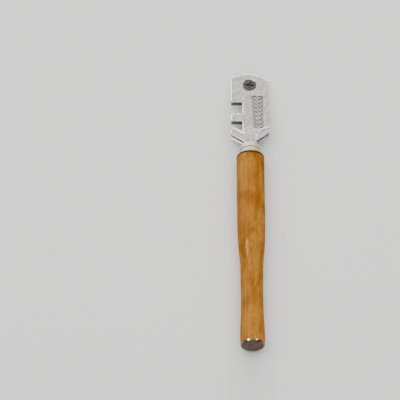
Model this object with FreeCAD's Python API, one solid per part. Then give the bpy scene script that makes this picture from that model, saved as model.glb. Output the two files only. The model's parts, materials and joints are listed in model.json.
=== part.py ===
import FreeCAD, Part
import math
import os

from FreeCAD import Vector

# A six-wheel turret glass cutter, lying on its back.
# Frame: +Y runs along the tool towards the cutting wheel, +X to the side without notches, +Z out
# of the front face. The origin is under the middle of the tool, on the surface it lies on.
# All dimensions are in millimetres.

# Lengths along the tool
HANDLE_LENGTH = 113.0          # butt face to the lower edge of the ferrule
FERRULE_LENGTH = 6.1
HEAD_LENGTH = 44.9             # top of the ferrule to the top of the arch

# Head plate; "below" means measured from the top of the arch towards the handle
HEAD_WIDTH = 20.4
PLATE_THICKNESS = 4.0
EDGE_ROUNDING = 0.65
CORNER_ROUNDING = 0.8
INNER_CORNER_ROUNDING = 0.4
ARCH_RADIUS = 16.2
ARCH_TOP_X = -1.1              # the arch is not quite symmetrical
SLOT_WIDTH = 2.0
SLOT_DEPTH = 16.0
NECK_WIDTH = 6.8
NECK_THICKNESS = 5.4
NECK_RAMP_START = 34.0         # where the plate starts to thicken into the neck
NECK_RAMP_END = 39.5
NECK_RAMP_SINK = 0.02          # start of the ramp inside the plate
NECK_INSERTION = 1.5           # neck inside the ferrule

# Glass-breaking notches in the left edge
NOTCH_DEPTH = 6.1
WIDE_NOTCH_START = 18.1
WIDE_NOTCH_HEIGHT = 7.0
NARROW_NOTCH_START = 30.1

# Finger rests; heights are below the arch, and x is from the middle of the head
RIGHT_REST = {
    "outer_top": 33.9,
    "outer_bottom": 37.6,
    "inner_x": 3.3,
    "inner_top": 36.6,
    "inner_bottom": 42.9,
    "crown": 0.2,
}
LEFT_REST = {
    "outer_top": 34.7,
    "outer_bottom": 38.5,
    "inner_x": 2.2,
    "inner_top": 38.1,
    "inner_bottom": 43.9,
    "crown": 0.45,
}
REST_THICKNESS = 5.4
REST_ROUNDING = 0.55
RIM_RADIUS = 0.7               # rounded rim along the front and rear upper edges
RIM_DROP = 0.45                # middle of the rim below the rest's upper edge
RIM_SUNK = 0.35                # part of the rim's radius that lies inside the rest
GRIP_GROOVE_RADIUS = 0.9
GRIP_GROOVE_DEPTH = 0.7
GRIP_GROOVE_PITCH = 2.7

# Raised pattern on the front face
PANEL_LEFT = 0.8
PANEL_RIGHT = 7.2
PANEL_SLANT = 1.4              # how far the left side leans in over the panel's length
PANEL_START = 14.2
PANEL_LENGTH = 20.4
PANEL_DEPTH = 0.35
PANEL_CORNER = 0.9
LOZENGE_COUNT = 8
LOZENGE_SIDE_GAP = 0.6         # from a lozenge's side corners to the panel's sides
LOZENGE_TAPER = 0.8            # size of a lozenge's top over its base
LOZENGE_GAP = 0.98             # size of a lozenge's base over its share of the panel
LOZENGE_HOLLOW = 0.42          # size of the hollow in a lozenge's top over its base
LOZENGE_HOLLOW_TAPER = 0.6     # size of the hollow's floor over its mouth
LOZENGE_SINK = 0.05            # base of a lozenge below the panel's floor

# Tang, a square spike in the handle
TANG_LENGTH = 34.0
TANG_TOP = (4.8, 3.6)
TANG_TIP = (2.4, 2.0)

# Clamp screw and the insert it screws into
SCREW_BELOW_TOP = 7.2
SCREW_SHANK_RADIUS = 2.0
SCREW_HEAD_RADIUS = 3.65
SCREW_SUNK = 0.2               # head below the front face
SCREW_END_GAP = 0.05           # shank end inside the rear face
RUNNING_CLEARANCE = 0.05
RECESS_SPAN = 4.2
RECESS_WIDTH = 1.1
RECESS_DEPTH = 1.0
RECESS_ANGLE = -10.0
RECESS_SPAN_TAPER = 0.75       # size of the recess at its bottom over its top
RECESS_WIDTH_TAPER = 0.6
INSERT_RADIUS = 3.5

# Turret
WHEEL_COUNT = 6
AXLE_CIRCLE_RADIUS = 5.5
AXLE_RADIUS = 0.6
WHEEL_RADIUS = 2.5
WHEEL_THICKNESS = 0.9
WHEEL_EDGE_ANGLE = 135.0       # angle of the ground cutting edge
DISC_RADIUS = 6.9
DISC_THICKNESS = 0.4
HUB_RADIUS = 2.85
WHEEL_SPACE = 1.0              # between the two discs
SCALLOP_RADIUS = 2.4
SCALLOP_CENTRE = 8.6

# Ferrule
FERRULE_WALL = 0.5
FERRULE_LOWER_RADIUS = 5.75
FERRULE_UPPER_RADIUS = 5.35
FERRULE_STEP = 2.9             # height of the wide lower part
FERRULE_BEAD = 0.45            # half the height of the rolled lower edge
FERRULE_BEAD_BULGE = 0.27
FERRULE_GROOVE = 0.3
NECK_GAP = 0.1

# Handle; stations are (distance from the butt face, radius)
HANDLE_BUTT_RADIUS = 6.35
HANDLE_BUTT_LAND = 5.0
HANDLE_BUTT_ROUNDING = 1.2
HANDLE_BUTT_DOME = 0.3
HANDLE_BULGE_RADIUS = 7.4
HANDLE_SHOULDER = 1.0          # length of the rounded shoulder under the ferrule
HANDLE_SHOULDER_LEDGE = 0.7    # how far the shoulder ends outside the ferrule
HANDLE_STATIONS = [
    (14.0, 6.10),
    (30.0, 5.80),
    (42.0, 5.95),
    (49.5, 6.18),
    (54.5, 6.60),
    (61.0, 7.08),
    (70.0, 7.33),
    (90.0, 7.40),
]

# Derived places
WHEEL_PROTRUSION = AXLE_CIRCLE_RADIUS + WHEEL_RADIUS - SCREW_BELOW_TOP
TOTAL_LENGTH = HANDLE_LENGTH + FERRULE_LENGTH + HEAD_LENGTH + WHEEL_PROTRUSION
AXIS_Z = HANDLE_BULGE_RADIUS
BUTT_Y = -TOTAL_LENGTH / 2
FERRULE_Y = BUTT_Y + HANDLE_LENGTH
NECK_Y = FERRULE_Y + FERRULE_LENGTH
ARCH_Y = NECK_Y + HEAD_LENGTH
SCREW_Y = ARCH_Y - SCREW_BELOW_TOP
HALF_WIDTH = HEAD_WIDTH / 2
FRONT_Z = AXIS_Z + PLATE_THICKNESS / 2
REAR_Z = AXIS_Z - PLATE_THICKNESS / 2
CHEEK = (PLATE_THICKNESS - SLOT_WIDTH) / 2
TANG_Y = NECK_Y - NECK_INSERTION
SEAT_RADIUS = SCREW_HEAD_RADIUS + SCREW_SUNK + RUNNING_CLEARANCE
SPIGOT_RADIUS = FERRULE_LOWER_RADIUS - FERRULE_WALL
SPIGOT_TOP_RADIUS = FERRULE_UPPER_RADIUS - FERRULE_GROOVE - FERRULE_WALL
UP = Vector(0, 0, 1)
MARGIN = 1.0                   # how far cutting tools run past what they cut


def below(distance):
    """Y of a place that far below the top of the arch."""
    return ARCH_Y - distance


def centred_box(size_x, size_y, size_z, centre):
    corner = centre - Vector(size_x, size_y, size_z) / 2
    return Part.makeBox(size_x, size_y, size_z, corner)


def disc(radius, z_low, z_high, x=0.0, y=SCREW_Y):
    """Cylinder about a line along Z."""
    return Part.makeCylinder(radius, z_high - z_low, Vector(x, y, z_low), UP)


def cone(radius_low, radius_high, z_low, z_high):
    return Part.makeCone(radius_low, radius_high, z_high - z_low, Vector(0, SCREW_Y, z_low), UP)


def polyline(points):
    return [Part.LineSegment(a, b).toShape() for a, b in zip(points, points[1:])]


def extruded(edges, z_low, z_high):
    """Solid from a closed outline of edges drawn at Z = 0."""
    face = Part.Face(Part.Wire(Part.__sortEdges__(edges)))
    face.translate(Vector(0, 0, z_low))
    return face.extrude(Vector(0, 0, z_high - z_low))


def edges_along_z(solid, places, tolerance=0.01):
    """The straight edges along Z that stand at the given (x, y) places."""
    found = []
    for edge in solid.Edges:
        ends = [vertex.Point for vertex in edge.Vertexes]
        if len(ends) != 2 or math.hypot(ends[0].x - ends[1].x, ends[0].y - ends[1].y) > tolerance:
            continue
        if any(math.hypot(ends[0].x - x, ends[0].y - y) < tolerance for x, y in places):
            found.append(edge)
    return found


def edges_at_z(solid, levels, tolerance=0.01):
    """The edges that lie flat at one of the given heights."""
    found = []
    for edge in solid.Edges:
        box = edge.BoundBox
        if any(abs(box.ZMin - z) < tolerance and abs(box.ZMax - z) < tolerance for z in levels):
            found.append(edge)
    return found


def mirrored(solid):
    return solid.mirror(Vector(0, 0, 0), Vector(1, 0, 0))


def turned_about_y(edges):
    """Solid of revolution about the tool's axis, from an outline with X as the radius."""
    face = Part.Face(Part.Wire(Part.__sortEdges__(edges)))
    solid = face.revolve(Vector(0, 0, 0), Vector(0, 1, 0), 360)
    solid.translate(Vector(0, 0, AXIS_Z))
    return solid


# ---------------------------------------------------------------- head casting

def arch_drop(x):
    """How far the arch has fallen from its top at that x."""
    return ARCH_RADIUS - math.sqrt(ARCH_RADIUS ** 2 - (x - ARCH_TOP_X) ** 2)


def arch_corners():
    return [(x, below(arch_drop(x))) for x in (-HALF_WIDTH, HALF_WIDTH)]


def plate_outline():
    """Arched plate down to the middle of the finger rests, then the neck."""
    left, right = [Vector(x, y, 0) for x, y in arch_corners()]
    rest_outer = below((RIGHT_REST["outer_top"] + RIGHT_REST["outer_bottom"]) / 2)
    rest_inner = below((RIGHT_REST["inner_top"] + RIGHT_REST["inner_bottom"]) / 2)
    neck = NECK_WIDTH / 2
    arch = Part.Arc(left, Vector(ARCH_TOP_X, ARCH_Y, 0), right).toShape()
    sides = polyline([
        right,
        Vector(HALF_WIDTH, rest_outer, 0),
        Vector(neck, rest_inner, 0),
        Vector(neck, TANG_Y, 0),
        Vector(-neck, TANG_Y, 0),
        Vector(-neck, rest_inner, 0),
        Vector(-HALF_WIDTH, rest_outer, 0),
        left,
    ])
    return [arch] + sides


def notch_cutter(start, height):
    """Block that cuts one notch, from outside the left edge to the notch's inner wall."""
    inner_x = NOTCH_DEPTH - HALF_WIDTH
    length = NOTCH_DEPTH + MARGIN
    centre = Vector(inner_x - length / 2, below(start + height / 2), AXIS_Z)
    return centred_box(length, height, PLATE_THICKNESS + 2 * MARGIN, centre)


def plate():
    narrow_height = LEFT_REST["inner_top"] - NARROW_NOTCH_START
    solid = extruded(plate_outline(), REAR_Z, FRONT_Z)
    solid = solid.cut(notch_cutter(WIDE_NOTCH_START, WIDE_NOTCH_HEIGHT))
    solid = solid.cut(notch_cutter(NARROW_NOTCH_START, narrow_height))
    notch_edges = (WIDE_NOTCH_START, WIDE_NOTCH_START + WIDE_NOTCH_HEIGHT, NARROW_NOTCH_START)
    inner_corners = [(NOTCH_DEPTH - HALF_WIDTH, below(t)) for t in notch_edges]
    outer_corners = [(-HALF_WIDTH, below(t)) for t in notch_edges]
    solid = solid.makeFillet(INNER_CORNER_ROUNDING, edges_along_z(solid, inner_corners))
    solid = solid.makeFillet(CORNER_ROUNDING, edges_along_z(solid, outer_corners + arch_corners()))
    return solid.makeFillet(EDGE_ROUNDING, edges_at_z(solid, (REAR_Z, FRONT_Z)))


def neck():
    """Thickening of the plate from the finger rests down into the ferrule."""
    half = NECK_THICKNESS / 2
    plate_half = PLATE_THICKNESS / 2 - NECK_RAMP_SINK
    profile = [
        (below(NECK_RAMP_START), plate_half),
        (below(NECK_RAMP_END), half),
        (TANG_Y, half),
        (TANG_Y, -half),
        (below(NECK_RAMP_END), -half),
        (below(NECK_RAMP_START), -plate_half),
        (below(NECK_RAMP_START), plate_half),
    ]
    outline = Part.makePolygon([Vector(-NECK_WIDTH / 2, y, AXIS_Z + z) for y, z in profile])
    solid = Part.Face(outline).extrude(Vector(NECK_WIDTH, 0, 0))
    side_edges = [edge for edge in solid.Edges if edge.BoundBox.YLength > MARGIN]
    return solid.makeFillet(EDGE_ROUNDING, side_edges)


def finger_rest(outer_top, outer_bottom, inner_x, inner_top, inner_bottom, crown):
    """Right finger rest: a block deeper than the plate, rimmed above and grooved underneath."""
    outer_top = Vector(HALF_WIDTH, below(outer_top), 0)
    inner_top = Vector(inner_x, below(inner_top), 0)
    inner_bottom = Vector(inner_x, below(inner_bottom), 0)
    outer_bottom = Vector(HALF_WIDTH, below(outer_bottom), 0)
    along = inner_top - outer_top
    outward = Vector(along.y, -along.x, 0).normalize()
    middle = (outer_top + inner_top) / 2 + outward * crown
    top = Part.Arc(outer_top, middle, inner_top).toShape()
    others = polyline([inner_top, inner_bottom, outer_bottom, outer_top])
    z_low = AXIS_Z - REST_THICKNESS / 2
    z_high = AXIS_Z + REST_THICKNESS / 2
    solid = extruded([top] + others, z_low, z_high)
    corners = [(point.x, point.y) for point in (outer_top, outer_bottom, inner_top)]
    solid = solid.makeFillet(REST_ROUNDING, edges_along_z(solid, corners))
    solid = solid.makeFillet(REST_ROUNDING, edges_at_z(solid, (z_low, z_high)))
    grooves = [grip_groove(inner_bottom, outer_bottom, side) for side in (-1, 1)]
    solid = solid.cut(grooves)
    path = [
        outer_top + Vector(-RIM_RADIUS, -RIM_DROP, 0),
        middle - outward * RIM_DROP,
        inner_top + Vector(RIM_RADIUS, -RIM_DROP, 0),
    ]
    return solid.fuse([rim(path, side) for side in (-1, 1)])


def rim(path, side):
    """Rounded bead with round ends along an arc through three points."""
    lift = Vector(0, 0, AXIS_Z + side * (REST_THICKNESS / 2 - RIM_RADIUS * RIM_SUNK))
    start, middle, end = [point + lift for point in path]
    arc = Part.Arc(start, middle, end)
    direction = arc.tangent(arc.FirstParameter)[0]
    section = Part.Wire(Part.Circle(start, direction, RIM_RADIUS).toShape())
    bead = Part.Wire(arc.toShape()).makePipeShell([section], True, True)
    return bead.fuse([Part.makeSphere(RIM_RADIUS, point) for point in (start, end)])


def grip_groove(inner_bottom, outer_bottom, side):
    """Round groove along the underside of a finger rest."""
    along = (outer_bottom - inner_bottom).normalize()
    outward = Vector(along.y, -along.x, 0)
    lift = GRIP_GROOVE_RADIUS - GRIP_GROOVE_DEPTH
    z = AXIS_Z + side * GRIP_GROOVE_PITCH / 2
    start = inner_bottom - along * MARGIN + outward * lift + Vector(0, 0, z)
    length = inner_bottom.distanceToPoint(outer_bottom) + 2 * MARGIN
    return Part.makeCylinder(GRIP_GROOVE_RADIUS, length, start, along)


def tang():
    """Tapered four-sided spike in the handle."""
    def section(size, y):
        half_x = size[0] / 2
        half_z = size[1] / 2
        corners = [(-half_x, -half_z), (half_x, -half_z), (half_x, half_z), (-half_x, half_z)]
        points = [Vector(x, y, AXIS_Z + z) for x, z in corners + corners[:1]]
        return Part.makePolygon(points)
    top = section(TANG_TOP, TANG_Y)
    tip = section(TANG_TIP, TANG_Y - TANG_LENGTH)
    return Part.makeLoft([top, tip], True, True)


def panel_left(distance):
    """X of the panel's slanted left side, that far below the panel's upper end."""
    return PANEL_LEFT + PANEL_SLANT * distance / PANEL_LENGTH


def panel_pocket():
    """Shallow pocket with round corners that the raised pattern stands in."""
    top_y = below(PANEL_START)
    bottom_y = below(PANEL_START + PANEL_LENGTH)
    corners = [
        Vector(panel_left(0), top_y, 0),
        Vector(PANEL_RIGHT, top_y, 0),
        Vector(PANEL_RIGHT, bottom_y, 0),
        Vector(panel_left(PANEL_LENGTH), bottom_y, 0),
    ]
    block = extruded(polyline(corners + corners[:1]), FRONT_Z - PANEL_DEPTH, FRONT_Z + MARGIN)
    upright = edges_along_z(block, [(corner.x, corner.y) for corner in corners])
    return block.makeFillet(PANEL_CORNER, upright)


def lozenge(distance):
    """Raised four-sided ring with sloping sides, level with the front face."""
    pitch = PANEL_LENGTH / LOZENGE_COUNT
    left = panel_left(distance) + LOZENGE_SIDE_GAP
    right = PANEL_RIGHT - LOZENGE_SIDE_GAP
    centre_x = (left + right) / 2
    centre_y = below(PANEL_START + distance)
    floor_z = FRONT_Z - PANEL_DEPTH

    def ring(scale, z):
        half_x = (right - left) / 2 * scale
        half_y = pitch / 2 * scale
        offsets = [(half_x, 0), (0, half_y), (-half_x, 0), (0, -half_y), (half_x, 0)]
        return Part.makePolygon([Vector(centre_x + dx, centre_y + dy, z) for dx, dy in offsets])
    base = ring(LOZENGE_GAP, floor_z - LOZENGE_SINK)
    raised = Part.makeLoft([base, ring(LOZENGE_TAPER, FRONT_Z)], True, True)
    hollow_floor = ring(LOZENGE_HOLLOW * LOZENGE_HOLLOW_TAPER, floor_z + LOZENGE_SINK)
    hollow = Part.makeLoft([hollow_floor, ring(LOZENGE_HOLLOW, FRONT_Z)], True, True)
    return raised.cut(hollow)


def head_casting():
    left_rest = mirrored(finger_rest(**LEFT_REST))
    solid = plate().fuse([neck(), finger_rest(**RIGHT_REST), left_rest, tang()])
    slot_length = SLOT_DEPTH + MARGIN
    slot_centre = Vector(0, below(SLOT_DEPTH) + slot_length / 2, AXIS_Z)
    solid = solid.cut(centred_box(HEAD_WIDTH + 2 * MARGIN, slot_length, SLOT_WIDTH, slot_centre))
    seat = cone(SEAT_RADIUS - CHEEK, SEAT_RADIUS, FRONT_Z - CHEEK, FRONT_Z)
    solid = solid.cut(seat)
    solid = solid.cut(disc(INSERT_RADIUS, REAR_Z - MARGIN, AXIS_Z))
    solid = solid.cut(panel_pocket())
    pitch = PANEL_LENGTH / LOZENGE_COUNT
    lozenges = [lozenge(pitch * (i + 0.5)) for i in range(LOZENGE_COUNT)]
    return solid.fuse(lozenges).removeSplitter()


# ---------------------------------------------------------------- screw and insert

def cross_recess():
    """Cross-shaped recess whose four arms narrow towards the bottom."""
    top_z = FRONT_Z - SCREW_SUNK

    def arm_ring(span, width, z):
        half_x = span / 2
        half_y = width / 2
        offsets = [(-half_x, -half_y), (half_x, -half_y), (half_x, half_y), (-half_x, half_y)]
        return Part.makePolygon([Vector(dx, SCREW_Y + dy, z) for dx, dy in offsets + offsets[:1]])
    top = arm_ring(RECESS_SPAN, RECESS_WIDTH, top_z)
    bottom_span = RECESS_SPAN * RECESS_SPAN_TAPER
    bottom_width = RECESS_WIDTH * RECESS_WIDTH_TAPER
    bottom = arm_ring(bottom_span, bottom_width, top_z - RECESS_DEPTH)
    arm = Part.makeLoft([top, bottom], True, True)
    other = arm.copy()
    centre = Vector(0, SCREW_Y, 0)
    other.rotate(centre, UP, 90)
    cross = arm.fuse(other)
    cross.rotate(centre, UP, RECESS_ANGLE)
    return cross


def clamp_screw():
    """Screw with a 90 degree head; its shank is also the turret's pivot."""
    top_z = FRONT_Z - SCREW_SUNK
    head_z = FRONT_Z - CHEEK
    end_z = REAR_Z + SCREW_END_GAP
    head = cone(SCREW_HEAD_RADIUS - (top_z - head_z), SCREW_HEAD_RADIUS, head_z, top_z)
    shank = disc(SCREW_SHANK_RADIUS, end_z, head_z)
    return head.fuse(shank).removeSplitter().cut(cross_recess())


def thread_insert():
    outside = disc(INSERT_RADIUS, REAR_Z, REAR_Z + CHEEK)
    hole = disc(SCREW_SHANK_RADIUS + RUNNING_CLEARANCE, REAR_Z - MARGIN, AXIS_Z)
    return outside.cut(hole)


# ---------------------------------------------------------------- turret

def wheel_angle(index):
    """Angle of a wheel's axle about the turret's axis; wheel 0 is the one at work."""
    return math.radians(90 + index * 360 / WHEEL_COUNT)


def around_turret(radius, angle):
    return radius * math.cos(angle), SCREW_Y + radius * math.sin(angle)


def turret_disc(z_low):
    """Lobed disc with a hole for the screw and one for each axle."""
    z_high = z_low + DISC_THICKNESS
    solid = disc(DISC_RADIUS, z_low, z_high)
    solid = solid.cut(disc(SCREW_SHANK_RADIUS + RUNNING_CLEARANCE, z_low, z_high))
    half_step = math.pi / WHEEL_COUNT
    for index in range(WHEEL_COUNT):
        x, y = around_turret(AXLE_CIRCLE_RADIUS, wheel_angle(index))
        solid = solid.cut(disc(AXLE_RADIUS, z_low, z_high, x, y))
        x, y = around_turret(SCALLOP_CENTRE, wheel_angle(index) + half_step)
        solid = solid.cut(disc(SCALLOP_RADIUS, z_low, z_high, x, y))
    return solid


def turret_hub():
    outside = disc(HUB_RADIUS, AXIS_Z - WHEEL_SPACE / 2, AXIS_Z + WHEEL_SPACE / 2)
    hole = disc(SCREW_SHANK_RADIUS + RUNNING_CLEARANCE, REAR_Z, FRONT_Z)
    return outside.cut(hole)


def axle(index):
    x, y = around_turret(AXLE_CIRCLE_RADIUS, wheel_angle(index))
    half = WHEEL_SPACE / 2 + DISC_THICKNESS
    return disc(AXLE_RADIUS, AXIS_Z - half, AXIS_Z + half, x, y)


def cutting_wheel(index):
    """Disc ground to a sharp edge all round, bored for its axle."""
    x, y = around_turret(AXLE_CIRCLE_RADIUS, wheel_angle(index))
    half = WHEEL_THICKNESS / 2
    side_radius = WHEEL_RADIUS - half / math.tan(math.radians(WHEEL_EDGE_ANGLE / 2))
    bore = AXLE_RADIUS + RUNNING_CLEARANCE
    outline = polyline([
        Vector(bore, 0, -half),
        Vector(side_radius, 0, -half),
        Vector(WHEEL_RADIUS, 0, 0),
        Vector(side_radius, 0, half),
        Vector(bore, 0, half),
        Vector(bore, 0, -half),
    ])
    face = Part.Face(Part.Wire(outline))
    solid = face.revolve(Vector(0, 0, 0), UP, 360)
    solid.translate(Vector(x, y, AXIS_Z))
    return solid


# ---------------------------------------------------------------- ferrule and handle

def ferrule():
    """Stepped sleeve with a rolled lower edge, a groove and a closed top around the neck."""
    low = FERRULE_LOWER_RADIUS
    high = FERRULE_UPPER_RADIUS
    bead_end = 2 * FERRULE_BEAD
    groove_start = FERRULE_STEP + FERRULE_GROOVE
    groove_middle = groove_start + FERRULE_GROOVE
    groove_end = groove_middle + FERRULE_GROOVE
    step_start = FERRULE_STEP - (low - high)
    top_start = FERRULE_LENGTH - FERRULE_WALL

    def at(radius, height):
        return Vector(radius, FERRULE_Y + height, 0)

    def rounded(start, bulge, end):
        return Part.Arc(at(*start), at(*bulge), at(*end)).toShape()

    corner = (low - high) * (1 - math.sqrt(0.5))
    top_corner = FERRULE_WALL * (1 - math.sqrt(0.5))
    curves = [
        rounded((low, 0), (low + FERRULE_BEAD_BULGE, FERRULE_BEAD), (low, bead_end)),
        rounded((low, step_start), (low - corner, FERRULE_STEP - corner), (high, FERRULE_STEP)),
        rounded((high, groove_start), (high - FERRULE_GROOVE, groove_middle), (high, groove_end)),
        rounded(
            (high, top_start),
            (high - top_corner, FERRULE_LENGTH - top_corner),
            (high - FERRULE_WALL, FERRULE_LENGTH),
        ),
    ]
    straights = polyline([at(low, bead_end), at(low, step_start)])
    straights += polyline([at(high, FERRULE_STEP), at(high, groove_start)])
    straights += polyline([at(high, groove_end), at(high, top_start)])
    straights += polyline([
        at(high - FERRULE_WALL, FERRULE_LENGTH),
        at(0, FERRULE_LENGTH),
        at(0, top_start),
        at(SPIGOT_TOP_RADIUS, top_start),
        at(SPIGOT_TOP_RADIUS, step_start),
        at(SPIGOT_RADIUS, step_start),
        at(SPIGOT_RADIUS, 0),
        at(low, 0),
    ])
    opening = centred_box(
        NECK_WIDTH + 2 * NECK_GAP,
        FERRULE_WALL + 2 * MARGIN,
        NECK_THICKNESS + 2 * NECK_GAP,
        Vector(0, NECK_Y, AXIS_Z),
    )
    return turned_about_y(curves + straights).cut(opening)


def handle_outline():
    """Half section of the handle: butt, swelling grip, shoulder and the spigot in the ferrule."""
    def at(radius, distance):
        return Vector(radius, BUTT_Y + distance, 0)

    rounding = HANDLE_BUTT_ROUNDING
    edge = HANDLE_BUTT_RADIUS - rounding
    corner = rounding * math.sqrt(0.5)
    shoulder_start = HANDLE_LENGTH - HANDLE_SHOULDER
    shoulder_end_radius = FERRULE_LOWER_RADIUS + HANDLE_SHOULDER_LEDGE
    drop = HANDLE_BULGE_RADIUS - shoulder_end_radius
    shoulder_radius = (drop ** 2 + HANDLE_SHOULDER ** 2) / (2 * drop)
    turn = math.asin(HANDLE_SHOULDER / shoulder_radius) / 2
    shoulder_middle = at(
        HANDLE_BULGE_RADIUS - shoulder_radius * (1 - math.cos(turn)),
        shoulder_start + shoulder_radius * math.sin(turn),
    )
    butt_dome = Part.Arc(at(0, 0), at(edge / 2, HANDLE_BUTT_DOME / 4), at(edge, HANDLE_BUTT_DOME)).toShape()
    butt_edge = Part.Arc(
        at(edge, HANDLE_BUTT_DOME),
        at(edge + corner, HANDLE_BUTT_DOME + rounding - corner),
        at(HANDLE_BUTT_RADIUS, HANDLE_BUTT_DOME + rounding),
    ).toShape()
    stations = [(HANDLE_BUTT_LAND, HANDLE_BUTT_RADIUS)] + HANDLE_STATIONS
    stations.append((shoulder_start, HANDLE_BULGE_RADIUS))
    grip = Part.BSplineCurve()
    along = Vector(0, 1, 0)
    grip.interpolate(
        Points=[at(radius, distance) for distance, radius in stations],
        InitialTangent=along,
        FinalTangent=along,
    )
    shoulder = Part.Arc(
        at(HANDLE_BULGE_RADIUS, shoulder_start),
        shoulder_middle,
        at(shoulder_end_radius, HANDLE_LENGTH),
    ).toShape()
    step_start = FERRULE_STEP - (FERRULE_LOWER_RADIUS - FERRULE_UPPER_RADIUS)
    top = HANDLE_LENGTH + FERRULE_LENGTH - FERRULE_WALL
    land = polyline([
        at(HANDLE_BUTT_RADIUS, HANDLE_BUTT_DOME + rounding),
        at(HANDLE_BUTT_RADIUS, HANDLE_BUTT_LAND),
    ])
    spigot = polyline([
        at(shoulder_end_radius, HANDLE_LENGTH),
        at(SPIGOT_RADIUS, HANDLE_LENGTH),
        at(SPIGOT_RADIUS, HANDLE_LENGTH + step_start),
        at(SPIGOT_TOP_RADIUS, HANDLE_LENGTH + step_start),
        at(SPIGOT_TOP_RADIUS, top),
        at(0, top),
        at(0, 0),
    ])
    return [butt_dome, butt_edge, grip.toShape(), shoulder] + land + spigot


def handle():
    neck_in_wood = centred_box(
        NECK_WIDTH,
        2 * NECK_INSERTION,
        NECK_THICKNESS,
        Vector(0, NECK_Y, AXIS_Z),
    )
    return turned_about_y(handle_outline()).cut(neck_in_wood).cut(tang())


# ---------------------------------------------------------------- all pieces

def pieces():
    solids = {
        "head_casting": head_casting(),
        "clamp_screw": clamp_screw(),
        "thread_insert": thread_insert(),
        "turret_front_disc": turret_disc(AXIS_Z + WHEEL_SPACE / 2),
        "turret_rear_disc": turret_disc(AXIS_Z - WHEEL_SPACE / 2 - DISC_THICKNESS),
        "turret_hub": turret_hub(),
        "ferrule": ferrule(),
        "wooden_handle": handle(),
    }
    for index in range(WHEEL_COUNT):
        solids[f"axle_pin_{index + 1}"] = axle(index)
        solids[f"cutting_wheel_{index + 1}"] = cutting_wheel(index)
    return solids


os.makedirs("parts", exist_ok=True)
for name, solid in pieces().items():
    print(f"{name:20s} valid {solid.isValid()} solids {len(solid.Solids)} volume {solid.Volume:9.2f} mm3")
    solid.exportStep(f"parts/{name}.step")
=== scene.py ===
import json
import math

import bpy
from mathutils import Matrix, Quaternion, Vector

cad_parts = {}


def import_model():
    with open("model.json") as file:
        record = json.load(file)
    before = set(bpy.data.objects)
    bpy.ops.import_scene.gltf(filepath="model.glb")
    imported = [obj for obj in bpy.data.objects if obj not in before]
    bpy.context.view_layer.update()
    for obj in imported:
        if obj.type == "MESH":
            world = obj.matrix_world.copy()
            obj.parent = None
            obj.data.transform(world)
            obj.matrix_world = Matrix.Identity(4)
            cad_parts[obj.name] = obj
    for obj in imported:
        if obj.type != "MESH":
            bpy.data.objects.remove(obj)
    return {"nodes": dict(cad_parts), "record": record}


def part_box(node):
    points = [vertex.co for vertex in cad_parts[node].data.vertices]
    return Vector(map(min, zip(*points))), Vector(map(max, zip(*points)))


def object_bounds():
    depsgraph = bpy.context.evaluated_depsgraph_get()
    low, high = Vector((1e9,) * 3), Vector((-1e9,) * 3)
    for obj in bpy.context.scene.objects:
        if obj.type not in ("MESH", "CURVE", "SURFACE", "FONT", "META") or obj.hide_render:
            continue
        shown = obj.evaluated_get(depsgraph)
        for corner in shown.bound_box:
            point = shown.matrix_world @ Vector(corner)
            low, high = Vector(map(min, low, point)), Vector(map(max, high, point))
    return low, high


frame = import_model()
cad_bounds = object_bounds()
nodes = frame["nodes"]

# Places in the frame that the materials and the camera need, in metres
BUTT_Y = cad_bounds[0][1]
TIP_Y = cad_bounds[1][1]
AXIS_Z = (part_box("wooden_handle")[0].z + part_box("wooden_handle")[1].z) / 2
FRONT_Z = AXIS_Z + 0.002            # the head's front face
HEAD_SIDE = 0.0104                  # just past the head's side edges
REST_Y = TIP_Y - 0.038              # middle of the finger rests
RESTS_LOWER_Y = TIP_Y - 0.0480      # just past the rests' lower ends
FERRULE_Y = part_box("ferrule")[0].y
FERRULE_BEAD_Y = FERRULE_Y + 0.0010
FERRULE_STEP_Y = FERRULE_Y + 0.0027
SHADE_RING_HALF_WIDTH = 0.0004            # of the rings of painted shade at the bead and the step
FERRULE_SHADE_START_Y = FERRULE_Y - 0.0022  # painted shade on the wood fades in from here
FERRULE_SHADE_END_Y = FERRULE_Y - 0.0011    # to full here, just below the ferrule

# Depths from the butt's end
END_GRAIN_DEPTH = 0.0005
RIM_DEPTH = 0.0016

# Boxes around the grip grooves (painted shade), the finger rests' rims (painted highlight) and the raised
# pattern's recess, as two corners each
GROOVES_LOW = (-HEAD_SIDE, RESTS_LOWER_Y, AXIS_Z - 0.00212)
GROOVES_HIGH = (HEAD_SIDE, TIP_Y - 0.0378, AXIS_Z + 0.00212)
CRESTS_LOW = (-HEAD_SIDE, RESTS_LOWER_Y, AXIS_Z + 0.00274)
CRESTS_HIGH = (HEAD_SIDE, TIP_Y - 0.0340, AXIS_Z + 0.00330)
PANEL_LOW = (0.0009, TIP_Y - 0.0354, AXIS_Z)
PANEL_HIGH = (0.0073, TIP_Y - 0.0150, FRONT_Z - 0.00004)

# Camera: tilt from the vertical in degrees, lens in millimetres, the rest in metres
CAMERA_TILT = 30
CAMERA_LENS = 214.4
CAMERA_DISTANCE = 1.254
CAMERA_AIM_X = -0.0268
CAMERA_AIM_BELOW_FERRULE = 0.02675

FLOOR_SIZE = 6
WORLD_STRENGTH = 0.08

# Directions from the tool to the lamps that the butt's rim mirrors
LEFT_OF_RIM = (-0.62, -0.02, 0.78)
RIGHT_OF_RIM = (0.62, -0.02, 0.78)


# ---------------------------------------------------------------- node-tree helpers

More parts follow.
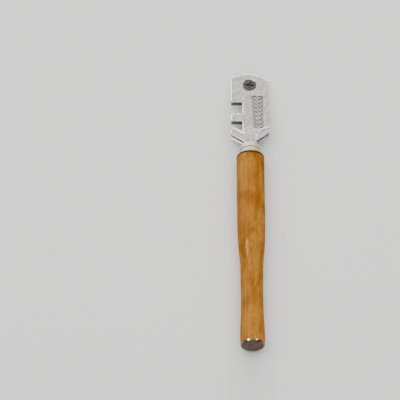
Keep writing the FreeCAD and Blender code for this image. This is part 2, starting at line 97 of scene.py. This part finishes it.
class Shader:
    """A material with a Principled shader, and short calls for the nodes that feed it."""

    def __init__(self, name, **settings):
        self.material = bpy.data.materials.new(name)
        self.material.use_nodes = True
        self.tree = self.material.node_tree
        self.principled = self.tree.nodes["Principled BSDF"]
        for socket, value in settings.items():
            self.principled.inputs[socket.replace("_", " ")].default_value = value

    def node(self, kind, **settings):
        made = self.tree.nodes.new(kind)
        for key, value in settings.items():
            setattr(made, key, value)
        return made

    def link(self, source, target):
        self.tree.links.new(source, target)

    def feed(self, source, socket):
        self.link(source, self.principled.inputs[socket])

    def place(self, scale=(1, 1, 1), offset=(0, 0, 0), turn=(0, 0, 0)):
        """Object coordinates, in metres, scaled, moved and turned."""
        coordinates = self.node("ShaderNodeTexCoord")
        mapping = self.node("ShaderNodeMapping")
        mapping.inputs["Scale"].default_value = scale
        mapping.inputs["Location"].default_value = offset
        mapping.inputs["Rotation"].default_value = turn
        self.link(coordinates.outputs["Object"], mapping.inputs["Vector"])
        return mapping.outputs["Vector"]

    def noise(self, vector, scale, detail=4.0, roughness=0.5, distortion=0.0):
        made = self.node("ShaderNodeTexNoise")
        made.inputs["Scale"].default_value = scale
        made.inputs["Detail"].default_value = detail
        made.inputs["Roughness"].default_value = roughness
        made.inputs["Distortion"].default_value = distortion
        self.link(vector, made.inputs["Vector"])
        return made.outputs["Fac"]

    def ramp(self, value, stops, interpolation="LINEAR"):
        """Colour ramp; stops are (position, grey) or (position, (r, g, b))."""
        made = self.node("ShaderNodeValToRGB")
        made.color_ramp.interpolation = interpolation
        points = made.color_ramp.elements
        while len(points) < len(stops):
            points.new(0.5)
        for point, (position, colour) in zip(points, stops):
            if not isinstance(colour, tuple):
                colour = (colour, colour, colour)
            point.position = position
            point.color = (*colour, 1)
        self.link(value, made.inputs["Fac"])
        return made.outputs["Color"]

    def mix(self, factor, first, second, mode="MIX"):
        """Mixes two colours; each of the three may be a socket or a plain value."""
        made = self.node("ShaderNodeMix", data_type="RGBA", blend_type=mode)
        inputs = {"Factor": 0, "A": 6, "B": 7}
        for key, value in (("Factor", factor), ("A", first), ("B", second)):
            socket = made.inputs[inputs[key]]
            if isinstance(value, bpy.types.NodeSocket):
                self.link(value, socket)
            elif key == "Factor":
                socket.default_value = value
            else:
                socket.default_value = (*value, 1)
        return made.outputs[2]

    def math(self, operation, first, second=0.0):
        made = self.node("ShaderNodeMath", operation=operation)
        for index, value in enumerate((first, second)):
            if isinstance(value, bpy.types.NodeSocket):
                self.link(value, made.inputs[index])
            else:
                made.inputs[index].default_value = value
        return made.outputs[0]

    def scratches(self):
        """Fine straight scratches in three directions, as a 0 to 1 mask."""
        mask = 0.0
        for turn, offset in ((0.15, 0.0), (-0.5, 0.37), (1.2, 0.71)):
            lines = self.noise(self.place((2600, 50, 2600), (offset, 0, 0), (0, 0, turn)), 1.0, 2)
            mask = self.math("MAXIMUM", mask, self.ramp(lines, [(0.68, 0.0), (0.74, 1.0)]))
        return mask

    def edge_mask(self, radius):
        """1 on convex and concave edges, 0 on flat and gently curved surface."""
        bevel = self.node("ShaderNodeBevel", samples=6)
        bevel.inputs["Radius"].default_value = radius
        geometry = self.node("ShaderNodeNewGeometry")
        dot = self.node("ShaderNodeVectorMath", operation="DOT_PRODUCT")
        self.link(bevel.outputs["Normal"], dot.inputs[0])
        self.link(geometry.outputs["Normal"], dot.inputs[1])
        return self.ramp(dot.outputs["Value"], [(0.90, 1.0), (0.995, 0.0)])

    def facing_up(self):
        """1 on faces that look up when the tool lies flat, 0 on upright walls, -1 looking down."""
        geometry = self.node("ShaderNodeNewGeometry")
        separate = self.node("ShaderNodeSeparateXYZ")
        self.link(geometry.outputs["Normal"], separate.inputs["Vector"])
        return separate.outputs["Z"]

    def front_or_back(self):
        """1 on the tool's front half, -1 on its back half."""
        return self.math("SIGN", self.math("SUBTRACT", self.axes()[2], AXIS_Z))

    def hollow_shade(self, distance):
        """1 deep in corners and grooves, 0 on open surface; the materials darken these places with it as
        painted shade.
        """
        occlusion = self.node("ShaderNodeAmbientOcclusion", samples=8)
        occlusion.inputs["Distance"].default_value = distance
        return self.ramp(occlusion.outputs["AO"], [(0.55, 1.0), (0.92, 0.0)])

    def axes(self):
        """The three object coordinates as single values."""
        coordinates = self.node("ShaderNodeTexCoord")
        separate = self.node("ShaderNodeSeparateXYZ")
        self.link(coordinates.outputs["Object"], separate.inputs["Vector"])
        return [separate.outputs[axis] for axis in "XYZ"]

    def along_y(self, start, end):
        """0 up to y = start, 1 from y = end."""
        made = self.node("ShaderNodeMapRange")
        made.inputs["From Min"].default_value = start
        made.inputs["From Max"].default_value = end
        self.link(self.axes()[1], made.inputs["Value"])
        return made.outputs["Result"]

    def ring(self, y, half_width):
        """1 on a ring round the tool at y, fading out within half_width to either side."""
        distance = self.math("ABSOLUTE", self.math("SUBTRACT", self.axes()[1], y))
        return self.ramp(self.math("DIVIDE", distance, half_width), [(0.4, 1.0), (1.0, 0.0)])

    def box_mask(self, low, high):
        """1 inside a box given by its two corners."""
        mask = 1.0
        for value, start, end in zip(self.axes(), low, high):
            mask = self.math("MULTIPLY", mask, self.math("GREATER_THAN", value, start))
            mask = self.math("MULTIPLY", mask, self.math("LESS_THAN", value, end))
        return mask

    def growth_rings(self):
        """Growth rings about a line beside the handle, so that they run along it as long flames."""
        wave = self.node("ShaderNodeTexWave", wave_type="RINGS", rings_direction="Y", wave_profile="SAW")
        wave.inputs["Scale"].default_value = 150
        wave.inputs["Distortion"].default_value = 7
        wave.inputs["Detail"].default_value = 3
        wave.inputs["Detail Scale"].default_value = 0.5
        self.link(self.place((1.0, 0.12, 1.0), (0.016, 0.0, 0.006)), wave.inputs["Vector"])
        return wave.outputs["Fac"]

    def bump(self, *layers, soft_edges=0.0):
        """Bump from (height, distance in metres, strength) layers; soft_edges rounds edges to a radius."""
        normal = None
        if soft_edges:
            bevel = self.node("ShaderNodeBevel", samples=6)
            bevel.inputs["Radius"].default_value = soft_edges
            normal = bevel.outputs["Normal"]
        for height, distance, strength in layers:
            made = self.node("ShaderNodeBump")
            made.inputs["Distance"].default_value = distance
            made.inputs["Strength"].default_value = strength
            self.link(height, made.inputs["Height"])
            if normal is not None:
                self.link(normal, made.inputs["Normal"])
            normal = made.outputs["Normal"]
        self.feed(normal, "Normal")


# ---------------------------------------------------------------- materials

def open_plate(s, stains, brushed):
    """Colour of the casting's open faces: clouds, stains, mottling and a fine grain along the tool."""
    clouds = s.noise(s.place(), 160, 5, 0.6)
    mottle = s.noise(s.place(offset=(0.1, 0.3, 0.0)), 900, 3, 0.6)
    tint = s.ramp(clouds, [(0.3, (0.62, 0.612, 0.585)), (0.7, (0.76, 0.752, 0.73))])
    tint = s.mix(s.ramp(stains, [(0.5, 0.0), (0.75, 0.4)]), tint, (0.44, 0.425, 0.39))
    tint = s.mix(s.ramp(mottle, [(0.38, 0.95), (0.56, 0.0)]), tint, (0.36, 0.35, 0.325))
    return s.mix(s.ramp(brushed, [(0.35, 0.6), (0.60, 0.0)]), tint, (0.40, 0.39, 0.365))


def notch_wall_shade(s, flat):
    """Mask of painted shade on the upright walls above the middle of the finger rests, such as the
    notches' walls.
    """
    upright = s.ramp(flat, [(0.25, 0.9), (0.60, 0.0)])
    return s.math("MULTIPLY", upright, s.along_y(REST_Y, REST_Y + 0.001))


def groove_shade(s, up):
    """Mask of painted shade in the grooves under the finger rests, where they face away from the tool's
    middle plane.
    """
    # Painted shade, only on the grooves facing away from the middle plane
    outward = s.ramp(s.math("MULTIPLY", up, s.front_or_back()), [(0.10, 0.0), (0.30, 1.0)])
    return s.math("MULTIPLY", outward, s.box_mask(GROOVES_LOW, GROOVES_HIGH))


def nickel_casting():
    """Satin nickel plate on a casting: orange peel and fine scratches, painted highlights on rounded edges
    and on the finger rests' rims, painted shade on notch walls, grip grooves and in corners.
    """
    s = Shader("nickel_casting", Metallic=1.0)
    stains = s.noise(s.place(offset=(0.2, 0.1, 0.0)), 420, 4, 0.65)
    peel = s.noise(s.place(), 1500, 3)
    brushed = s.noise(s.place((1900, 130, 1900)), 1.0, 2)
    scratches = s.scratches()
    up = s.facing_up()
    flat = s.math("ABSOLUTE", up)
    # Painted highlights on the rounded edges, chosen by which way they face
    rounded = s.ramp(flat, [(0.50, 0.0), (0.70, 1.0), (0.95, 1.0), (0.99, 0.0)])
    # Painted highlight on the finger rests' rims
    crest_highlight = s.box_mask(CRESTS_LOW, CRESTS_HIGH)
    panel = s.box_mask(PANEL_LOW, PANEL_HIGH)
    tint = open_plate(s, stains, brushed)
    # Painted shade on the notch walls
    tint = s.mix(notch_wall_shade(s, flat), tint, (0.065, 0.062, 0.056))
    # Painted highlights on edges and rims, a darker panel, and painted shade in the grip grooves and in
    # corners
    for mask, share, colour in (
        (rounded, 0.8, (0.92, 0.915, 0.90)),
        (crest_highlight, 0.9, (0.97, 0.965, 0.95)),
        (panel, 0.8, (0.27, 0.26, 0.235)),
        (groove_shade(s, up), 0.95, (0.035, 0.032, 0.028)),
        (s.hollow_shade(0.0012), 0.85, (0.07, 0.064, 0.055)),
    ):
        tint = s.mix(s.math("MULTIPLY", mask, share), tint, colour)
    s.feed(tint, "Base Color")
    # Painted highlights on edges and rims are partly dull white instead of metal
    dull = s.math("MAXIMUM", s.math("MULTIPLY", rounded, 0.45), s.math("MULTIPLY", crest_highlight, 0.7))
    s.feed(s.math("SUBTRACT", 1.0, dull), "Metallic")
    rough = s.ramp(stains, [(0.3, 0.24), (0.7, 0.36)])
    rough = s.mix(s.math("MULTIPLY", scratches, 0.5), rough, (0.55, 0.55, 0.55))
    rough = s.mix(s.math("MULTIPLY", rounded, 0.8), rough, (0.14, 0.14, 0.14))
    rough = s.mix(panel, rough, (0.55, 0.55, 0.55))
    s.feed(rough, "Roughness")
    s.bump(
        (peel, 0.00004, 0.6),
        (stains, 0.00006, 0.6),
        (brushed, 0.00001, 0.5),
        (scratches, 0.000005, 0.6),
        soft_edges=0.00015,
    )
    return s.material


def ferrule_metal():
    """Drawn sleeve: warm tarnish, turning lines, rings of painted shade at its bead and step, painted
    shade in corners.
    """
    s = Shader("ferrule_metal", Metallic=1.0)
    rings = s.noise(s.place((30, 5200, 30)), 1.0, 2)
    clouds = s.noise(s.place(), 260, 5, 0.6)
    wear = s.edge_mask(0.0003)
    tint = s.ramp(clouds, [(0.3, (0.70, 0.61, 0.43)), (0.7, (0.88, 0.80, 0.61))])
    tint = s.mix(s.ramp(rings, [(0.35, 0.35), (0.55, 0.0)]), tint, (0.50, 0.43, 0.29))
    tint = s.mix(s.math("MULTIPLY", wear, 0.6), tint, (0.90, 0.86, 0.76))
    # Rings of painted shade at the bead and the step
    for y in (FERRULE_BEAD_Y, FERRULE_STEP_Y):
        tint = s.mix(s.math("MULTIPLY", s.ring(y, SHADE_RING_HALF_WIDTH), 0.75), tint, (0.20, 0.155, 0.10))
    # Painted shade in the ferrule's corners
    tint = s.mix(s.math("MULTIPLY", s.hollow_shade(0.0016), 0.85), tint, (0.14, 0.10, 0.06))
    s.feed(tint, "Base Color")
    s.feed(s.ramp(clouds, [(0.3, 0.54), (0.7, 0.62)]), "Roughness")
    s.bump((rings, 0.000008, 0.7), (clouds, 0.00002, 0.3))
    return s.material


def dark_steel():
    """Black-oxide screw with the oxide rubbed off along the rim and the recess, and slight painted shade
    in its corners.
    """
    s = Shader("dark_steel", Metallic=1.0)
    clouds = s.noise(s.place(), 900, 5, 0.6)
    wear = s.math("MULTIPLY", s.edge_mask(0.00025), s.ramp(clouds, [(0.35, 0.2), (0.6, 1.0)]))
    tint = s.ramp(clouds, [(0.3, (0.062, 0.054, 0.047)), (0.75, (0.125, 0.110, 0.096))])
    tint = s.mix(s.math("MULTIPLY", wear, 0.55), tint, (0.42, 0.38, 0.32))
    # Slight painted shade in corners
    tint = s.mix(s.math("MULTIPLY", s.hollow_shade(0.0010), 0.1), tint, (0.02, 0.017, 0.015))
    s.feed(tint, "Base Color")
    s.feed(s.ramp(clouds, [(0.3, 0.34), (0.7, 0.52)]), "Roughness")
    s.bump((clouds, 0.00002, 0.5))
    return s.material


def turned_steel(name, colour, roughness):
    """Small turned or stamped steel pieces: fine marks, slight stains, bright edges, painted shade in
    corners.
    """
    s = Shader(name, Metallic=1.0)
    clouds = s.noise(s.place(), 700, 5, 0.6)
    marks = s.noise(s.place((6000, 300, 300)), 1.0, 2)
    darker = tuple(0.68 * c for c in colour)
    tint = s.ramp(clouds, [(0.3, darker), (0.7, colour)])
    tint = s.mix(s.math("MULTIPLY", s.edge_mask(0.00015), 0.6), tint, (0.8, 0.8, 0.79))
    # Painted shade in corners
    tint = s.mix(s.math("MULTIPLY", s.hollow_shade(0.0008), 0.6), tint, (0.06, 0.05, 0.04))
    s.feed(tint, "Base Color")
    s.feed(s.ramp(clouds, [(0.3, roughness), (0.7, roughness + 0.14)]), "Roughness")
    s.bump((marks, 0.000005, 0.5), (clouds, 0.00001, 0.3))
    return s.material


def varnished_wood():
    """Clear varnish over mottled amber wood, with painted shade where it meets the ferrule."""
    s = Shader("varnished_wood", Coat_Weight=0.07, Coat_Roughness=0.18, Coat_IOR=1.45,
               Specular_IOR_Level=0.0)
    rings = s.growth_rings()
    mottle = s.noise(s.place((1.0, 0.6, 1.0), (0.013, 0.0, 0.004)), 105, 3, 0.5, 0.8)
    speckle = s.noise(s.place((1.0, 0.35, 1.0)), 900, 3, 0.6)
    fibres = s.noise(s.place((2600, 60, 2600)), 1.0, 4, 0.6)
    pores = s.noise(s.place((3400, 260, 3400), (0.1, 0.2, 0.3)), 1.0, 3, 0.6)
    tint = s.ramp(rings, [
        (0.0, (0.46, 0.200, 0.028)),
        (0.7, (0.42, 0.177, 0.024)),
        (1.0, (0.34, 0.128, 0.015)),
    ])
    tint = s.mix(s.ramp(mottle, [(0.47, 0.0), (0.72, 0.75)]), tint, (0.53, 0.250, 0.037))
    tint = s.mix(s.ramp(mottle, [(0.30, 0.8), (0.50, 0.0)]), tint, (0.255, 0.076, 0.0045))
    tint = s.mix(s.ramp(speckle, [(0.34, 0.45), (0.50, 0.0)]), tint, (0.215, 0.060, 0.0045))
    tint = s.mix(s.ramp(fibres, [(0.35, 0.3), (0.6, 0.0)]), tint, (0.24, 0.073, 0.0060))
    tint = s.mix(s.ramp(pores, [(0.60, 0.0), (0.68, 0.5)]), tint, (0.115, 0.036, 0.0028))
    # Painted shade on the wood just below the ferrule
    ferrule_shade = s.along_y(FERRULE_SHADE_START_Y, FERRULE_SHADE_END_Y)
    tint = s.mix(s.math("MULTIPLY", ferrule_shade, 0.95), tint, (0.035, 0.014, 0.0040))
    s.feed(tint, "Base Color")
    s.feed(s.ramp(fibres, [(0.3, 0.55), (0.7, 0.42)]), "Roughness")
    s.bump((fibres, 0.00001, 0.3), (mottle, 0.0002, 0.15))
    return s.material


def dark_lacquer(name, low, high, **settings):
    """Dark brown lacquer, thin on the hard bands of the growth rings."""
    s = Shader(name, Specular_IOR_Level=0.12, **settings)
    rings = s.growth_rings()
    mottle = s.noise(s.place(), 600, 4, 0.6)
    tint = s.ramp(rings, [(0.0, low), (1.0, high)])
    tint = s.mix(s.ramp(mottle, [(0.4, 0.0), (0.65, 0.7)]), tint, tuple(0.35 * c for c in low))
    s.feed(tint, "Base Color")
    s.feed(s.ramp(mottle, [(0.3, 0.3), (0.7, 0.5)]), "Roughness")
    s.bump((mottle, 0.00002, 0.2))
    return s.material


MATERIALS = {
    "nickel_casting": nickel_casting(),
    "ferrule_metal": ferrule_metal(),
    "dark_steel": dark_steel(),
    "steel": turned_steel("steel", (0.50, 0.49, 0.47), 0.28),
    "wheel_steel": turned_steel("wheel_steel", (0.64, 0.64, 0.66), 0.16),
    "varnished_wood": varnished_wood(),
}

for entry in frame["record"]["subparts"]:
    made = MATERIALS[entry["material_slot"]]
    for slot in nodes[entry["node"]].material_slots:
        slot.material = made


def lacquer_butt(handle):
    """Lacquers the butt: glossy on its rounded rim, duller on its end grain."""
    rim = dark_lacquer("rim_lacquer", (0.050, 0.014, 0.009), (0.080, 0.024, 0.014),
                       Coat_Weight=1.0, Coat_Roughness=0.07, Coat_IOR=1.75)
    end_grain = dark_lacquer("end_grain", (0.105, 0.062, 0.042), (0.150, 0.095, 0.066))
    handle.data.materials.append(rim)
    handle.data.materials.append(end_grain)
    first = len(handle.data.materials) - 2
    for polygon in handle.data.polygons:
        depth = polygon.center.y - BUTT_Y
        if depth < RIM_DEPTH:
            polygon.material_index = first if depth > END_GRAIN_DEPTH else first + 1


lacquer_butt(nodes["wooden_handle"])


# ---------------------------------------------------------------- floor, lights and camera

def floor():
    bpy.ops.mesh.primitive_plane_add(size=FLOOR_SIZE, location=(0, 0, 0))
    plane = bpy.context.object
    plane.name = "floor"
    s = Shader("floor_paper", Roughness=0.9)
    s.principled.inputs["Base Color"].default_value = (0.90, 0.90, 0.89, 1)
    plane.data.materials.append(s.material)


def camera():
    """Looks down on the tool from above, tilted towards the butt's side."""
    tilt = math.radians(CAMERA_TILT)
    ferrule_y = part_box("ferrule")[0].y
    target = Vector((CAMERA_AIM_X, ferrule_y - CAMERA_AIM_BELOW_FERRULE, AXIS_Z))
    made = bpy.data.cameras.new("camera")
    made.sensor_width = 36
    made.lens = CAMERA_LENS
    made.clip_start = 0.01
    eye = bpy.data.objects.new("camera", made)
    eye.location = target + CAMERA_DISTANCE * Vector((0, -math.sin(tilt), math.cos(tilt)))
    eye.rotation_euler = (tilt, 0, 0)
    bpy.context.scene.collection.objects.link(eye)
    bpy.context.scene.camera = eye


def world():
    made = bpy.data.worlds.new("studio")
    made.use_nodes = True
    made.node_tree.nodes["Background"].inputs["Color"].default_value = (1, 1, 1, 1)
    made.node_tree.nodes["Background"].inputs["Strength"].default_value = WORLD_STRENGTH
    bpy.context.scene.world = made


def lamp(name, size, radiance, direction, distance=1.0, roll=0.0, diffuse=True, gloss=True):
    """Area light of a given brightness, aimed at the tool; diffuse and gloss say what it adds."""
    light = bpy.data.lights.new(name, "AREA")
    light.shape = "RECTANGLE"
    light.size, light.size_y = size
    light.energy = math.pi * size[0] * size[1] * radiance
    position = distance * Vector(direction).normalized()
    aim = (Vector((0, 0, AXIS_Z)) - position).to_track_quat("-Z", "Y")
    made = bpy.data.objects.new(name, light)
    made.location = position
    made.rotation_euler = (aim @ Quaternion((0, 0, 1), math.radians(roll))).to_euler()
    made.visible_diffuse = diffuse
    made.visible_glossy = gloss
    bpy.context.scene.collection.objects.link(made)
    return made


def glint(name, node, size, radiance, direction, colour=(1, 1, 1)):
    """Lamp that only one piece mirrors, for a highlight on it."""
    made = lamp(name, size, radiance, direction, diffuse=False)
    made.data.color = colour
    lit = bpy.data.collections.new(name + "_lights")
    lit.objects.link(nodes[node])
    made.light_linking.receiver_collection = lit


floor()

# Lamps: name, size in metres, brightness, direction from the tool, distance
lamp("left_lamp", (0.12, 0.12), 60, LEFT_OF_RIM, diffuse=False)
lamp("right_lamp", (0.12, 0.12), 60, RIGHT_OF_RIM, diffuse=False)
lamp("front_lamp", (1.0, 1.3), 1.35, (0.0, -0.60, 0.76))
lamp("top_panel", (1.8, 1.4), 1.37, (0.0, 0.5, 0.866), 1.3)
lamp("window", (1.5, 0.45), 12.5, (0.0, 0.966, 0.30), 1.5)
lamp("left_strip", (0.24, 0.65), 12.0, (-0.78, 0.545, 0.37), 1.3, roll=18, diffuse=False)
lamp("right_fill", (1.2, 0.6), 0.4, (0.80, 0.45, 0.38), 1.3, diffuse=False)
lamp("overhead", (0.5, 1.6), 2.3, (-0.20, 0.0, 1.0), gloss=False)

# Lamps for the highlights on the butt's rim and on the left finger rest: name, the one piece
# that is lit, then size, brightness and direction as above, and a colour
glint("left_rim_glint", "wooden_handle", (0.75, 0.26), 150, LEFT_OF_RIM, (1.0, 0.80, 0.55))
glint("right_rim_glint", "wooden_handle", (0.45, 0.18), 80, RIGHT_OF_RIM, (1.0, 0.70, 0.42))
glint("rest_glint", "head_casting", (0.5, 0.4), 12, (-0.66, -0.61, 0.41))

camera()
world()
